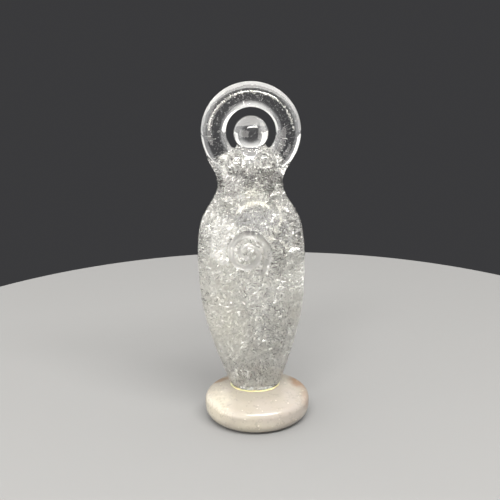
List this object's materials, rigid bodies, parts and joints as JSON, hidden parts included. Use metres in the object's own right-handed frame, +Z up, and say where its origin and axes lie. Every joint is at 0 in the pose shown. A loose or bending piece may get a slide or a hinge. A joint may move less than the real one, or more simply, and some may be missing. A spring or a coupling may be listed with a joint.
{
  "type": "goddess figurine",
  "caption": "Carved rock crystal figure of a woman with arms raised overhead in a closed ring and a spiral cut in the belly, on a round quartz base",
  "frame": {"origin": "centre of the base's flat underside, on the surface that it stands on", "axes": "+Z up through the figure, -Y towards the viewer that the figure faces, +X to that viewer's right"},
  "size_m": [0.0322, 0.0312, 0.1],
  "materials": {
    "rock_crystal": "polished clear crystal with cloudy veils inside",
    "milky_quartz": "polished translucent milky quartz with rusty stains"
  },
  "bodies": {
    "root": {"figure": "rock_crystal", "base_disc": "milky_quartz"}
  },
  "joints": []
}
